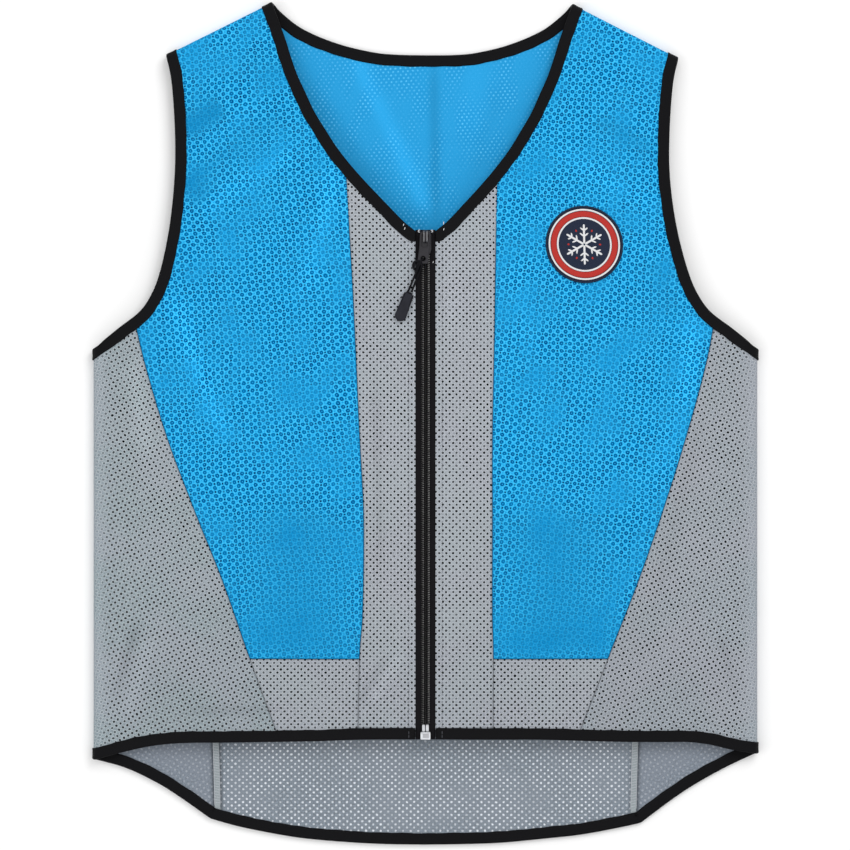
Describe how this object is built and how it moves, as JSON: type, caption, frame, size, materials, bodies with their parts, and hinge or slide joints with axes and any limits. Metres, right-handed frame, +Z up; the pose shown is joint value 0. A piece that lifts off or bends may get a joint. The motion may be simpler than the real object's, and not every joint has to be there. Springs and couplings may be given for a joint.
{
  "type": "cooling vest",
  "caption": "Sleeveless zip-front evaporative cooling vest with padded blue chest and back panels, grey mesh sides and black bound edges, lying flat on its back.",
  "frame": {"origin": "middle of the vest's outline, on the surface that it lies on", "axes": "+Z up out of the front of the vest as it lies on its back, +Y towards the collar, +X towards the wearer's left"},
  "size_m": [0.5758, 0.7282, 0.0314],
  "materials": {
    "padded_cloth": "matt ring-patterned net over wadding",
    "mesh_cloth": "matt perforated knit",
    "black_tape": "matt woven tape",
    "black_coil": "moulded nylon coil",
    "black_metal": "black enamel",
    "black_cord": "braided cord",
    "black_rubber": "moulded, satin",
    "silver_metal": "bright plated",
    "badge_cloth": "embroidered patch"
  },
  "bodies": {
    "root": {"front_panel_left": "padded_cloth", "front_panel_right": "padded_cloth", "back_yoke": "padded_cloth", "front_center_left": "mesh_cloth", "front_center_right": "mesh_cloth", "front_band_left": "mesh_cloth", "front_band_right": "mesh_cloth", "side_panel_left": "mesh_cloth", "side_panel_right": "mesh_cloth", "back_panel": "mesh_cloth", "back_seam_left": "mesh_cloth", "back_seam_right": "mesh_cloth", "neck_binding": "black_tape", "armhole_binding_left": "black_tape", "armhole_binding_right": "black_tape", "hem_binding": "black_tape", "zip_tape_left": "black_tape", "zip_tape_right": "black_tape", "zip_coil_left": "black_coil", "zip_coil_right": "black_coil", "zip_slider": "black_metal", "zip_pull_tab": "black_metal", "zip_pull_cord": "black_cord", "zip_pull_grip": "black_rubber", "zip_stop_left": "silver_metal", "zip_stop_right": "silver_metal", "zip_box": "silver_metal", "zip_pin_left": "silver_metal", "zip_pin_right": "silver_metal", "chest_badge": "badge_cloth"}
  },
  "joints": []
}
